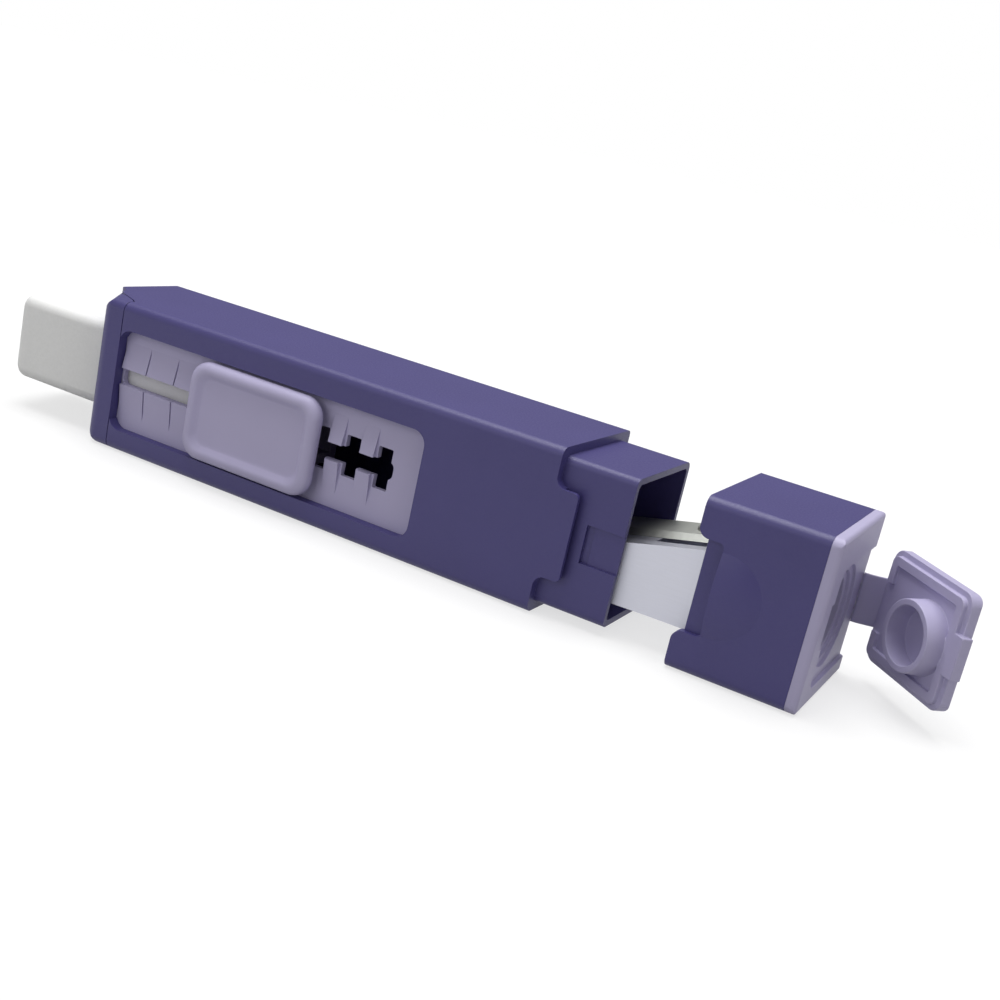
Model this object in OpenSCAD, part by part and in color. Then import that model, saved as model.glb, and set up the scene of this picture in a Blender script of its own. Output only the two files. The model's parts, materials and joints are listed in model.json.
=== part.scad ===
// Pencil eraser stick: a square plastic stick with a sliding eraser at one end
// and a pencil sharpener under a pull-off cap at the other.
// The origin is the middle of the casing's bottom face. X runs from the eraser to
// the lid, -Y faces the window and its button, and Z is up.
// The cap is drawn pulled off along X, and its small lid stands half open.

/* [Casing] */
// Length of the square casing, from the nose to the shoulder that the cap meets
body_l = 73.5; // [70:0.5:80]
// Depth of the casing, front to back
body_d = 19.7; // [19.4:0.1:20.4]
// Height of the casing
body_h = 20; // [19.8:0.1:20.6]
// Thickness of the casing's walls
wall = 1.5; // [1.3:0.05:1.6]
// Rounding of the long edges at the front
edge_r = 1.2; // [0.8:0.1:1.4]
// Rounding of the long edges at the back
back_edge_r = 0.6; // [0.4:0.1:1]
// Rounding of the edges at the nose end
nose_r = 2; // [1.2:0.1:2.4]
// Rounding of the upright edge between the front face and the slant
front_blend_r = 2; // [1:0.1:3]
// How far the slanted front corner of the nose cuts back along X
bevel_x = 5.1; // [4:0.1:5.6]
// How far the slanted front corner of the nose reaches back along Y
bevel_y = 8.2; // [7.4:0.1:9]
// Radius that blends the slant into the nose end
bevel_blend_r = 8.8; // [6:0.2:9.6]

/* [Neck] */
// Length of the neck that goes into the cap
neck_l = 9; // [8:0.1:9.2]
// Step from the casing's front face down to the neck
neck_front_in = 1.3; // [1.2:0.05:1.4]
// Step from the casing's back face down to the neck
neck_back_in = 1.6; // [1.4:0.05:1.7]
// Step from the casing's top and bottom faces down to the neck
neck_rise_in = 1.06; // [0.9:0.02:1.2]
// Thickness of the neck's walls
neck_wall = 0.78; // [0.6:0.02:0.9]
// Rounding of the neck's long edges
neck_edge_r = 1; // [0.8:0.1:1.2]
// Length of the tongue that reaches over the neck's front face
tongue_l = 3.05; // [2.6:0.05:3.4]
// Height of the tongue
tongue_h = 10.6; // [9.6:0.1:11.4]
// Height of the tongue's middle above the rest face
tongue_z = 10.1; // [9.8:0.1:10.4]
// Rounding at the tongue's tip
tongue_tip_r = 0.6; // [0.3:0.1:0.9]
// Hollow rounding at the tongue's root
tongue_root_r = 1.3; // [0.8:0.1:1.6]
// Thickness of the tongue where it laps over the cap's lip
lap_t = 0.55; // [0.45:0.05:0.6]
// Distance from the shoulder to the start of the tongue's lap
lap_x = 1; // [0.8:0.05:1.2]
// Distance from the shoulder to the snap slot
snap_x = 4.35; // [3.6:0.05:4.4]
// Width of the snap slot along X
snap_w = 0.95; // [0.8:0.05:1.2]
// Height of the snap slot
snap_h = 4.6; // [4:0.1:5]
// Height of the snap slot's middle above the rest face
snap_z = 9.8; // [9.4:0.1:10.4]
// Depth of the snap slot
snap_deep = 0.52; // [0.45:0.01:0.55]
// Depth of the shallow run that leads the cap's nub to the snap slot
run_deep = 0.33; // [0.3:0.01:0.36]
// Wall between the eraser's chamber and the shavings chamber
bulkhead_t = 1; // [0.8:0.05:1.4]
// Depth of the shavings chamber behind the shoulder
shavings_deep = 14.2; // [14:0.1:15]

/* [Window] */
// Distance from the nose end to the parting line, where the window starts
corner_x = 8.3; // [7.8:0.1:8.8]
// Length of the window
window_l = 47.8; // [46.8:0.1:48.2]
// Height of the window
window_h = 13.5; // [13.4:0.05:14]
// Height of the window's middle above the rest face
window_z = 9.7; // [9.5:0.05:9.9]
// Rounding of the window's corners
window_r = 1.8; // [1:0.1:2.4]
// Width of the fine parting gap round the nose frame
part_gap = 0.12; // [0.08:0.01:0.16]

/* [Track plate] */
// Thickness of the track plate
track_t = 0.8; // [0.7:0.05:0.85]
// Height of the slot that the button's stem runs in
slot_h = 2.2; // [2:0.05:2.4]
// Height of the slot's middle above the rest face
slot_z = 10; // [9.8:0.05:10.1]
// Spacing of the comb's fingers
pitch = 4.7; // [4.5:0.05:4.9]
// Width of the open notches between the fingers
notch_w = 2.05; // [1.9:0.05:2.2]
// Height of a pair of notches, from the top of one to the foot of the other
notch_h = 5.3; // [5:0.1:5.4]
// How proud the fingers stand at the slot
rib_proud = 0.6; // [0.4:0.05:0.65]
// Width of the fingers' raised faces
rib_w = 2; // [1.8:0.1:2.5]
// Width of the fine step between the closed segments
step_w = 0.2; // [0.1:0.05:0.3]
// Distance from the window's right edge to the slot's end
slot_end = 4.3; // [4:0.1:4.8]
// Distance from the slot's end to the middle of the last notch
last_notch_in = 1.5; // [1.4:0.05:1.8]

/* [Button] */
// Length of the button
button_l = 20.1; // [18.4:0.1:20.8]
// Height of the button
button_h = 12.8; // [12.4:0.05:13.2]
// Distance from the nose end to the button's middle
button_x = 31.45; // [31.2:0.05:31.8]
// How proud the button stands of the casing's front face
button_proud = 1.3; // [1:0.1:1.6]
// How far the button's foot sits below the casing's front face
button_sunk = 0.25; // [0.1:0.05:0.25]
// Rounding of the button's corners
button_r = 2.6; // [1.8:0.1:3]
// Width of the button's raised rim
rim_w = 1.9; // [1.4:0.1:2.4]
// Depth of the button's hollow face below its rim
dish_deep = 0.7; // [0.4:0.05:0.8]
// Travel of the button when it is pressed
press = 0.5; // [0.4:0.05:0.6]
// Length of the button's stem along X
stem_l = 7; // [6.4:0.1:7.2]
// Clearance of the stem in the slot and in the carrier, each side
stem_gap = 0.15; // [0.1:0.01:0.2]
// How deep the stem reaches behind the track plate
stem_deep = 3.6; // [3.2:0.1:4]
// Width of the locking wings along X
wing_w = 1.6; // [1.4:0.05:1.7]
// Height from wing tip to wing tip
wing_h = 4.8; // [4.6:0.05:4.9]
// Thickness of the locking wings
wing_t = 0.55; // [0.5:0.05:0.6]

/* [Eraser and carrier] */
// Length of the eraser
eraser_l = 40.6; // [36:0.1:42]
// Depth of the eraser, front to back
eraser_d = 14.4; // [14:0.1:14.6]
// Height of the eraser
eraser_h = 11.7; // [11:0.1:12]
// Rounding of the eraser's edges
eraser_r = 1.5; // [1:0.1:2]
// How much further the eraser's tip reaches at the back than at the front
tip_slant = 2.6; // [1:0.1:4]
// Travel of the eraser out of the stick from here
slide_out = 12.4; // [10:0.1:12.8]
// Travel of the eraser into the stick from here
slide_in = 13.2; // [10:0.1:13.6]
// Length of the arms that hold the eraser
arm_l = 9; // [7:0.2:9.2]
// Thickness of the arms
arm_t = 1.1; // [0.9:0.05:1.3]
// Width of the arms
arm_w = 10; // [8:0.5:12]
// Length of the carrier's block behind the button
block_l = 9.6; // [9:0.1:10.4]
// Height of the carrier's block
block_h = 9.6; // [8.4:0.1:11]
// Depth of the carrier's block, front to back
block_d = 9; // [8:0.1:12]
// Thickness of the carrier's guide flange
flange_t = 1.4; // [1:0.1:1.8]
// Running clearance of the carrier in the casing
carrier_gap = 0.3; // [0.25:0.01:0.4]
// Thickness of the steel leaf that pushes the button out
leaf_t = 0.2; // [0.15:0.01:0.25]
// Height of the leaf's bow
leaf_bow = 0.8; // [0.7:0.05:0.9]

/* [Cap] */
// How far the cap is pulled off in the rest pose
cap_off = 17.35; // [16.8:0.05:18]
// Length of the cap's dark shell
cap_l = 13.92; // [13.4:0.02:14.4]
// Clearance of the cap round the neck
cap_gap = 0.12; // [0.1:0.01:0.15]
// Length of the raised thumb pad on the cap's front face
pad_l = 5.55; // [5:0.05:6.4]
// Height of the thumb pad
pad_h = 9.7; // [9:0.1:10.4]
// How proud the thumb pad stands of the front face
pad_proud = 0.8; // [0.5:0.05:1]
// How proud the snap nub stands inside the cap
nub_proud = 0.3; // [0.26:0.01:0.32]
// Thickness of the pale end bezel
bezel_t = 1.33; // [1.2:0.01:1.5]
// Rounding of the bezel's outer edges
bezel_r = 0.6; // [0.4:0.05:0.7]
// Depth of the bezel's plug inside the shell
plug_l = 1.9; // [1.7:0.05:2]
// Length of the socket that holds the sharpener
socket_l = 2.7; // [2.3:0.05:2.75]
// Height of the pencil hole's axis above the rest face
hole_z = 9.3; // [9.2:0.05:9.4]
// Radius of the pencil hole through the bezel
hole_r = 4.4; // [4.35:0.01:4.5]
// Radius of the dished mouth round the pencil hole
mouth_r = 6; // [5.6:0.1:6.2]
// Radius of the step inside the dished mouth
mouth_step_r = 5.2; // [4.9:0.1:5.4]
// Depth of each of the two steps of the dished mouth
mouth_deep = 0.4; // [0.3:0.02:0.5]
// Depth of the lid's recess in the bezel
recess_deep = 0.5; // [0.4:0.02:0.6]
// Height of the lid's recess
recess_h = 13.9; // [13.6:0.1:14.2]
// Height of the recess's middle above the rest face
recess_z = 9; // [8.9:0.05:9.1]

/* [Lid] */
// Height of the lid
lid_h = 13.8; // [13.4:0.1:13.9]
// Height of the lid's middle above the rest face
lid_z = 9.6; // [9.5:0.05:9.65]
// Width of the lid, from its hinge edge to its free edge
lid_w = 15.2; // [14.4:0.05:15.3]
// Thickness of the lid's plate
lid_t = 1.4; // [1.1:0.05:1.5]
// Rounding of the lid's corners
lid_r = 1.6; // [1.2:0.1:2]
// Rounding of the lid's outer edges
lid_edge_r = 0.4; // [0.2:0.05:0.45]
// Step between the lid's rim and its inner slab
lid_step = 0.7; // [0.5:0.05:0.9]
// Thickness of the lid's inner slab
slab_t = 0.2; // [0.14:0.02:0.3]
// Width of the rib round the lid's inner face
rib_border = 1.1; // [0.8:0.05:1.4]
// Height of the rib round the lid's inner face
rib_border_t = 0.4; // [0.3:0.02:0.5]
// Outer radius of the plug ring that closes the pencil hole
ring_r = 4.27; // [4.2:0.01:4.29]
// Wall of the plug ring
ring_wall = 0.92; // [0.7:0.02:1.2]
// How far the plug ring stands past the rib
ring_proud = 2.2; // [1.6:0.05:2.3]
// How much the plug ring's radius falls toward its tip
ring_taper = 0.2; // [0.15:0.01:0.3]
// Width of the latch tab along the free edge
tab_h = 4.9; // [4:0.1:5.6]
// How far the latch tab stands out of the free edge
tab_proud = 0.9; // [0.6:0.05:1]
// Height of the hinge strap
strap_h = 6.1; // [5:0.1:6.6]
// Height of the hinge strap's middle above the rest face
strap_z = 9.4; // [9:0.1:9.8]
// Thickness of the hinge strap
strap_t = 0.45; // [0.35:0.01:0.5]
// Distance of the hinge axis behind the casing's back plane
hinge_back = 2.3; // [2.1:0.05:2.6]
// Distance of the hinge axis beyond the bezel's end face
hinge_out = 0.15; // [0.05:0.05:0.25]
// Clearance between the closed lid and the bezel
lid_gap = 0.13; // [0.1:0.01:0.18]
// Angle that the lid is open in the rest pose
lid_open = 44.3; // [30:0.1:60]

/* [Sharpener] */
// Length of the metal wedge
wedge_l = 25; // [24.6:0.1:25.4]
// Width of the metal wedge
wedge_w = 14.6; // [14.2:0.1:14.7]
// Height of the wedge at its wide end
wedge_h = 12.1; // [11.8:0.1:12.3]
// Fall of the wedge's top face, in degrees
wedge_fall = 12.74; // [11:0.1:13]
// Height of the pencil hole's axis above the wedge's foot
wedge_axis_z = 5.5; // [5.4:0.05:5.6]
// Radius of the pencil hole in the wedge
bore_r = 4.05; // [4:0.01:4.2]
// Length of the straight part of the pencil hole
bore_l = 10.05; // [9.8:0.05:10.2]
// Depth of the hollow in the wedge's long sides
waist = 0.8; // [0.4:0.05:1]
// Depth of the blade's seat
seat_deep = 0.3; // [0.25:0.01:0.32]
// Distance from the wedge's front side to the blade's seat
seat_y = 2.8; // [2.4:0.1:3.2]
// Length of the blade
blade_l = 23.4; // [23:0.1:24]
// Width of the blade
blade_w = 8.3; // [8:0.1:8.4]
// Thickness of the blade
blade_t = 0.6; // [0.5:0.01:0.7]
// Width of the blade's ground cutting edge
grind_w = 1.6; // [1:0.1:2]
// Distance from the wedge's small end to the shavings slot
swarf_x = 6.6; // [6:0.1:7]
// Length of the shavings slot
swarf_l = 9; // [8:0.1:9.2]
// Distance from the wedge's small end to the blade screw, along the slope
screw_x = 11.5; // [11.4:0.1:12.4]
// Distance from the wedge's back side to the blade screw
screw_y_in = 3.3; // [2.9:0.05:3.3]
// Radius of the blade screw's head
screw_head_r = 2.2; // [2:0.05:2.4]
// Height of the blade screw's head
screw_head_t = 0.9; // [0.7:0.05:1]
// Radius of the blade screw's shank
screw_r = 1.2; // [1.1:0.05:1.3]
// Length of the blade screw's shank below the blade
screw_l = 1.5; // [1.2:0.05:1.7]
// Width of the screwdriver slot
driver_w = 0.55; // [0.4:0.05:0.7]
// Depth of the screwdriver slot
driver_deep = 0.45; // [0.3:0.05:0.5]

/* [Hidden] */
$fn = 48;

// Colours of the mouldings and metals
dark_plastic = [0.26, 0.24, 0.40];
pale_plastic = [0.66, 0.63, 0.75];
eraser_white = [0.93, 0.93, 0.92];
wedge_metal = [0.80, 0.80, 0.84];
steel = [0.62, 0.63, 0.62];

// Small fits: a seated piece, a press-in fit, the overrun of cuts and the inner rounding
seat_gap = 0.05;
fit_gap = 0.05;
over = 1;
inner_r = 0.3;

// Places along X
nose_x = -body_l / 2;
shoulder_x = body_l / 2;
mouth_x = shoulder_x + neck_l;
cap_x = shoulder_x + cap_off;
cap_end_x = cap_x + cap_l;
bezel_x = cap_end_x + bezel_t;
window_x0 = nose_x + corner_x;
window_x1 = window_x0 + window_l;
button_mid_x = nose_x + button_x;
bulkhead_x1 = shoulder_x - shavings_deep;
bulkhead_x0 = bulkhead_x1 - bulkhead_t;

// Places along Y, from the front face to the back face
front_y = -body_d / 2;
back_y = body_d / 2;
neck_y0 = front_y + neck_front_in;
neck_y1 = back_y - neck_back_in;
axis_y = (neck_y0 + neck_y1) / 2;
track_y0 = front_y + wall + seat_gap;
track_y1 = track_y0 + track_t;
eraser_y0 = track_y1 + carrier_gap;

// Places along Z
neck_z0 = neck_rise_in;
neck_z1 = body_h - neck_rise_in;
window_z0 = window_z - window_h / 2;
window_z1 = window_z + window_h / 2;
mid_z = body_h / 2;

// Comb of the track plate, counted from the slot's end toward the nose
slot_x0 = window_x0 + step_w;
slot_x1 = window_x1 - slot_end;
notch_x0 = slot_x1 - last_notch_in;
open_notches = 6;
closed_steps = 3;
wing_notch = 4;
function notch_x(k) = notch_x0 - k * pitch;

// Depths of the button and of the carrier behind the track plate
button_y0 = front_y - button_proud;
button_y1 = front_y + button_sunk;
wing_y0 = track_y1 + stem_gap;
wing_y1 = wing_y0 + wing_t;
stem_y1 = track_y1 + stem_deep;
stem_h = slot_h - 2 * stem_gap;
block_y0 = wing_y1 + press + carrier_gap;
block_x0 = button_mid_x - block_l / 2;
flange_x0 = block_x0 - flange_t;
eraser_x1 = flange_x0 - seat_gap;
eraser_z0 = mid_z - eraser_h / 2;
eraser_z1 = mid_z + eraser_h / 2;
leaf_y1 = stem_y1 + seat_gap + leaf_bow;

// End plate of the nose frame, inside the casing's nose
plate_in = 1.2;
plate_t = 1.2;
mouth_gap = 0.3;

// Inside of the cap, which slides over the neck
cap_in_y0 = neck_y0 - cap_gap;
cap_in_y1 = neck_y1 + cap_gap;
cap_in_z0 = neck_z0 - cap_gap;
cap_in_z1 = neck_z1 + cap_gap;

// The sharpener is seated against the bezel's plug
plug_x = cap_end_x - plug_l;
wedge_x1 = plug_x - seat_gap;
wedge_x0 = wedge_x1 - wedge_l;
wedge_z0 = hole_z - wedge_axis_z;
wedge_slope = tan(wedge_fall);

// The lid's inner parts, as the lid stands when it is closed
recess_x = bezel_x - recess_deep;
rib_x = recess_x + lid_gap;
slab_x = rib_x + rib_border_t;
plate_x = slab_x + slab_t;
lid_x1 = plate_x + lid_t;
lid_y1 = back_y - recess_deep;
lid_y0 = lid_y1 - lid_w;
hinge_x = bezel_x + hinge_out;
hinge_y = back_y + hinge_back;
lid_z0 = lid_z - lid_h / 2;
lid_z1 = lid_z + lid_h / 2;

// A point of the closed lid in plan, turned to where the lid stands now
function turned(x, y) = [
    hinge_x + (x - hinge_x) * cos(lid_open) - (y - hinge_y) * sin(lid_open),
    hinge_y + (x - hinge_x) * sin(lid_open) + (y - hinge_y) * cos(lid_open)];

// Draws its children, flat in Y and Z, from x0 to x1
module along_x(x0, x1) {
    translate([x0, 0, 0]) rotate([90, 0, 90]) linear_extrude(x1 - x0) children();
}

// Draws its children, flat in X and Z, from y0 to y1
module along_y(y0, y1) {
    translate([0, y1, 0]) rotate([90, 0, 0]) linear_extrude(y1 - y0) children();
}

// Draws its children, flat in X and Y, from z0 to z1
module along_z(z0, z1) {
    translate([0, 0, z0]) linear_extrude(z1 - z0) children();
}

// A flat rectangle with four round corners
module rounded(a0, a1, b0, b1, r) {
    translate([a0 + r, b0]) square([a1 - a0 - 2 * r, b1 - b0]);
    translate([a0, b0 + r]) square([a1 - a0, b1 - b0 - 2 * r]);
    for (a = [a0 + r, a1 - r], b = [b0 + r, b1 - r]) translate([a, b]) circle(r);
}

// A flat rectangle with sharp corners
module flat(a0, a1, b0, b1) {
    translate([a0, b0]) square([a1 - a0, b1 - b0]);
}

// A box between two opposite corners
module box(lo, hi) {
    translate(lo) cube(hi - lo);
}

// Cross section that the casing, the cap and the bezel share
module stick_section() {
    rounded(front_y, back_y, 0, body_h, edge_r);
    rounded(0, back_y, 0, body_h, back_edge_r);
}

// Plan of the nose, whose front corner is slanted and blends into the end
module nose_plan() {
    turn = atan(bevel_x / bevel_y);
    run = bevel_blend_r * tan(turn / 2);
    far_x = shoulder_x + over;
    start_x = nose_x + bevel_x + front_blend_r * tan(45 - turn / 2);
    front = [for (i = [0:8]) let (a = 270 - (90 - turn) * i / 8)
        [start_x + front_blend_r * cos(a), front_y + front_blend_r * (1 + sin(a))]];
    blend = [for (i = [0:12]) let (a = turn * (1 - i / 12))
        [nose_x + bevel_blend_r * (1 - cos(a)), front_y + bevel_y + run - bevel_blend_r * sin(a)]];
    polygon(concat([[far_x, front_y - over], [start_x, front_y - over]], front, blend,
        [[nose_x, back_y + over], [far_x, back_y + over]]));
}

// The casing's outside, from the nose to the shoulder, with end_r round its nose
module casing_outside(end_r) {
    intersection() {
        along_x(nose_x - over, shoulder_x) stick_section();
        along_z(-over, body_h + over) nose_plan();
        along_y(front_y - over, back_y + over)
            rounded(nose_x, shoulder_x + nose_r + over, 0, body_h, end_r);
        // The same rounding along the slant
        translate([nose_x + bevel_x, front_y, 0]) rotate([0, 0, atan(bevel_x / bevel_y)])
            along_y(-body_l, body_l) rounded(0, body_l + body_d, 0, body_h, end_r);
    }
}

// Shares of the corner's length and of the bevel's depth, along the parting line
part_line_shares = [[1, -1], [1, 0.2], [0.9, 0.29], [0.42, 0.56], [0.17, 0.9], [-0.2, 1.1], [-0.2, -1]];

// Plan of the front corner that belongs to the nose frame
module corner_plan(grow) {
    polygon([for (s = part_line_shares) [nose_x + s[0] * corner_x + grow, front_y + s[1] * bevel_y + grow]]);
}

// Front outline of the tongue, and of the notch that takes it, grown by a gap
module tongue_outline(x0, grow) {
    half = tongue_h / 2 + grow;
    root = tongue_root_r - grow;
    rounded(x0 - 2 * tongue_l, x0 + tongue_l + grow, tongue_z - half, tongue_z + half, tongue_tip_r);
    for (s = [-1, 1]) difference() {
        translate([x0 + root / 2, tongue_z + s * (half + root / 2)]) square(root, center = true);
        translate([x0 + root, tongue_z + s * (half + root)]) circle(root);
    }
}

module main_casing() color(dark_plastic) {
    snap_x0 = shoulder_x + snap_x;
    difference() {
        union() {
            casing_outside(back_edge_r);
            along_x(shoulder_x - over, mouth_x) rounded(neck_y0, neck_y1, neck_z0, neck_z1, neck_edge_r);
            difference() {
                along_y(front_y, neck_y0 + neck_wall / 2) intersection() {
                    tongue_outline(shoulder_x, 0);
                    flat(shoulder_x - over, shoulder_x + tongue_l, 0, body_h);
                }
                box([shoulder_x + lap_x, front_y + lap_t, 0], [mouth_x, neck_y0, body_h]);
            }
        }
        // Chamber of the eraser, open at the nose
        along_x(nose_x - over, bulkhead_x0)
            rounded(front_y + wall, back_y - wall, wall, body_h - wall, inner_r);
        // Shavings chamber, open at the neck's mouth
        along_x(bulkhead_x1, mouth_x + over)
            rounded(neck_y0 + neck_wall, neck_y1 - neck_wall, neck_z0 + neck_wall, neck_z1 - neck_wall,
                neck_edge_r - neck_wall / 2);
        // Window for the button
        along_y(front_y - over, front_y + wall + over)
            rounded(window_x0, window_x1, window_z0, window_z1, window_r);
        // Seat of the nose frame's corner
        along_z(-over, body_h + over) corner_plan(part_gap);
        // Snap slot and the shallow run that leads to it
        box([snap_x0, neck_y0 - over, snap_z - snap_h / 2],
            [snap_x0 + snap_w, neck_y0 + snap_deep, snap_z + snap_h / 2]);
        box([snap_x0, neck_y0 - over, snap_z - snap_h / 2],
            [mouth_x + over, neck_y0 + run_deep, snap_z + snap_h / 2]);
    }
}

module nose_frame() color(dark_plastic) {
    inner_x = nose_x + plate_in + plate_t;
    difference() {
        union() {
            intersection() {
                casing_outside(nose_r);
                along_z(-over, body_h + over) corner_plan(0);
            }
            intersection() {
                casing_outside(nose_r);
                along_x(nose_x + plate_in, inner_x) rounded(front_y + wall + seat_gap,
                    back_y - wall - seat_gap, wall + seat_gap, body_h - wall - seat_gap, inner_r);
            }
        }
        // Hollow behind the end plate and the slanted wall
        along_z(wall, body_h - wall) polygon([
            [inner_x, back_y], [inner_x, front_y + bevel_y * 3 / 4],
            [nose_x + bevel_x + plate_t, front_y + wall], [shoulder_x, front_y + wall], [shoulder_x, back_y]]);
        // Mouth that guides the eraser
        along_x(nose_x - over, shoulder_x)
            rounded(eraser_y0 - mouth_gap, eraser_y0 + eraser_d + mouth_gap,
                eraser_z0 - mouth_gap, eraser_z1 + mouth_gap, eraser_r + mouth_gap);
    }
}

// One rib of the comb, proud at the slot and level with the plate at the window's edge
module rib(x0, x1, z_slot, z_edge) {
    along_x(x0, x1) polygon([
        [track_y0 + track_t / 2, z_slot], [track_y0 - rib_proud, z_slot],
        [track_y0, z_edge], [track_y0 + track_t / 2, z_edge]]);
}

module track_plate() color(pale_plastic) {
    plate_x0 = window_x0 - window_r;
    plate_x1 = window_x1 + window_r;
    slot_z0 = slot_z - slot_h / 2;
    slot_z1 = slot_z + slot_h / 2;
    difference() {
        union() {
            along_x(plate_x0, plate_x1)
                rounded(track_y0, track_y1, wall + seat_gap, body_h - wall - seat_gap, inner_r);
            for (side = [[slot_z1, window_z1 - window_r], [slot_z0, window_z0 + window_r]]) {
                for (k = [0:open_notches - 1])
                    rib(notch_x(k) - pitch / 2 - rib_w / 2, notch_x(k) - pitch / 2 + rib_w / 2,
                        side[0], side[1]);
                for (k = [open_notches:open_notches + closed_steps - 1])
                    rib(max(notch_x(k + 1) + step_w / 2, window_x0 + step_w), notch_x(k) - step_w / 2,
                        side[0], side[1]);
            }
        }
        // Slot of the stem, round at its right end
        along_y(track_y0 - over, track_y1 + over) {
            rounded(slot_x0, slot_x1, slot_z0, slot_z1, slot_h / 3);
            for (k = [0:open_notches - 1])
                rounded(notch_x(k) - notch_w / 2, notch_x(k) + notch_w / 2,
                    slot_z - notch_h / 2, slot_z + notch_h / 2, inner_r / 2);
        }
    }
}

// A cushion with round corners, and with round edges on the side toward -Y
module cushion(x0, x1, y0, y1, z0, z1, corner, edge) {
    intersection() {
        along_y(y0, y1) rounded(x0, x1, z0, z1, corner);
        along_x(x0, x1) rounded(y0, y1 + 2 * edge, z0, z1, edge);
        along_z(z0, z1) rounded(x0, x1, y0, y1 + 2 * edge, edge);
    }
}

module slider_button() color(pale_plastic) {
    x0 = button_mid_x - button_l / 2;
    x1 = button_mid_x + button_l / 2;
    z0 = window_z - button_h / 2;
    z1 = window_z + button_h / 2;
    slope = dish_deep;
    difference() {
        cushion(x0, x1, button_y0, button_y1, z0, z1, button_r, rim_w / 2);
        // Hollow face with sloping sides
        intersection() {
            along_x(x0 + rim_w, x1 - rim_w) polygon([
                [button_y0 - slope, z0 + rim_w - slope], [button_y0 + dish_deep, z0 + rim_w + slope],
                [button_y0 + dish_deep, z1 - rim_w - slope], [button_y0 - slope, z1 - rim_w + slope]]);
            along_z(z0, z1) polygon([
                [x0 + rim_w - slope, button_y0 - slope], [x0 + rim_w + slope, button_y0 + dish_deep],
                [x1 - rim_w - slope, button_y0 + dish_deep], [x1 - rim_w + slope, button_y0 - slope]]);
        }
    }
    // Stem through the slot
    box([button_mid_x - stem_l / 2, button_y1 - button_sunk, slot_z - stem_h / 2],
        [button_mid_x + stem_l / 2, stem_y1, slot_z + stem_h / 2]);
    // Wings that catch behind the fingers
    box([notch_x(wing_notch) - wing_w / 2, wing_y0, slot_z - wing_h / 2],
        [notch_x(wing_notch) + wing_w / 2, wing_y1, slot_z + wing_h / 2]);
}

module eraser_carrier() color(pale_plastic) {
    arm_y0 = eraser_y0 + (eraser_d - arm_w) / 2;
    difference() {
        union() {
            // Guide flange behind the eraser
            along_x(flange_x0, block_x0) rounded(eraser_y0, back_y - wall - carrier_gap,
                wall + carrier_gap, body_h - wall - carrier_gap, inner_r);
            // Arms above and below the eraser
            for (z = [eraser_z1 + seat_gap, eraser_z0 - seat_gap - arm_t])
                box([flange_x0 - arm_l, arm_y0, z], [flange_x0 + seat_gap, arm_y0 + arm_w, z + arm_t]);
            // Block behind the button
            box([block_x0 - seat_gap, block_y0, mid_z - block_h / 2],
                [block_x0 + block_l, block_y0 + block_d, mid_z + block_h / 2]);
        }
        // Socket of the button's stem and of its leaf
        box([button_mid_x - stem_l / 2 - stem_gap, block_y0 - over, slot_z - slot_h / 2],
            [button_mid_x + stem_l / 2 + stem_gap, leaf_y1 + seat_gap, slot_z + slot_h / 2]);
        // Core of the block, which saves plastic
        box([block_x0 + flange_t, leaf_y1 + flange_t, mid_z - block_h / 2 + flange_t],
            [block_x0 + block_l + over, block_y0 + block_d - flange_t, mid_z + block_h / 2 - flange_t]);
    }
}

module eraser() color(eraser_white) {
    x0 = eraser_x1 - eraser_l;
    y1 = eraser_y0 + eraser_d;
    intersection() {
        along_x(x0, eraser_x1) rounded(eraser_y0, y1, eraser_z0, eraser_z1, eraser_r);
        along_y(eraser_y0, y1) rounded(x0, eraser_x1 + 2 * eraser_r, eraser_z0, eraser_z1, eraser_r);
        along_z(eraser_z0, eraser_z1) union() {
            polygon([[eraser_x1, eraser_y0], [eraser_x1, y1],
                [x0 + eraser_r, y1], [x0, y1 - eraser_r],
                [x0 + tip_slant, eraser_y0 + eraser_r], [x0 + tip_slant + eraser_r, eraser_y0]]);
            translate([x0 + eraser_r, y1 - eraser_r]) circle(eraser_r);
            translate([x0 + tip_slant + eraser_r, eraser_y0 + eraser_r]) circle(eraser_r);
        }
    }
}

module return_leaf() color(steel) {
    half = stem_l / 2 - stem_gap;
    rise = leaf_bow - leaf_t;
    bow_r = (half * half + rise * rise) / (2 * rise);
    arc_y = leaf_y1 - leaf_bow + bow_r + leaf_t;
    along_z(slot_z - stem_h / 2 + stem_gap, slot_z + stem_h / 2 - stem_gap) intersection() {
        difference() {
            translate([button_mid_x, arc_y]) circle(bow_r + leaf_t, $fn = 96);
            translate([button_mid_x, arc_y]) circle(bow_r, $fn = 96);
        }
        flat(button_mid_x - half, button_mid_x + half, leaf_y1 - leaf_bow - leaf_t, leaf_y1);
    }
}

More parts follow.
